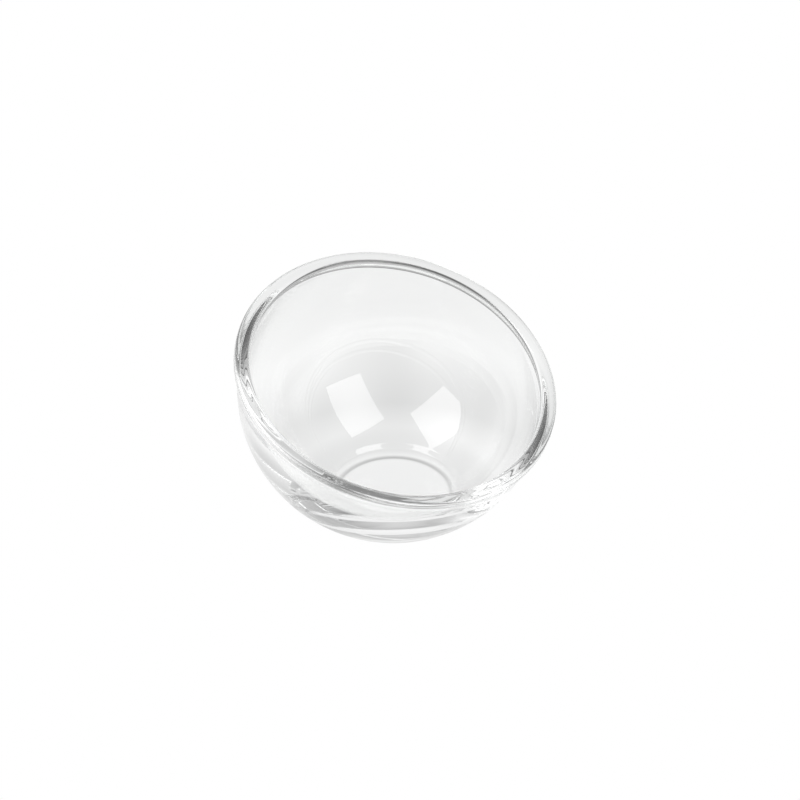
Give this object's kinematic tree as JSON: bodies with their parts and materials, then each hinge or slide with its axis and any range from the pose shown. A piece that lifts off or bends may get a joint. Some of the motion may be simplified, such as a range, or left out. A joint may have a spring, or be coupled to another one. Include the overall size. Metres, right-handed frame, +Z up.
{
  "type": "slant-mouth glass dish",
  "caption": "Clear glass dish: a ball-shaped bowl on a flat foot, with a slanted round mouth and a rolled lip.",
  "frame": {"origin": "centre of the flat foot, on the surface that the dish stands on", "axes": "+Z up, square to the foot; the mouth leans towards -Y, so the lip is lowest at -Y and highest at +Y; X runs across the mouth's level diameter"},
  "size_m": [0.0902, 0.0871, 0.0585],
  "materials": {
    "clear_glass": "fire-polished, clear and colourless"
  },
  "bodies": {
    "root": {"glass_bowl": "clear_glass"}
  },
  "joints": []
}
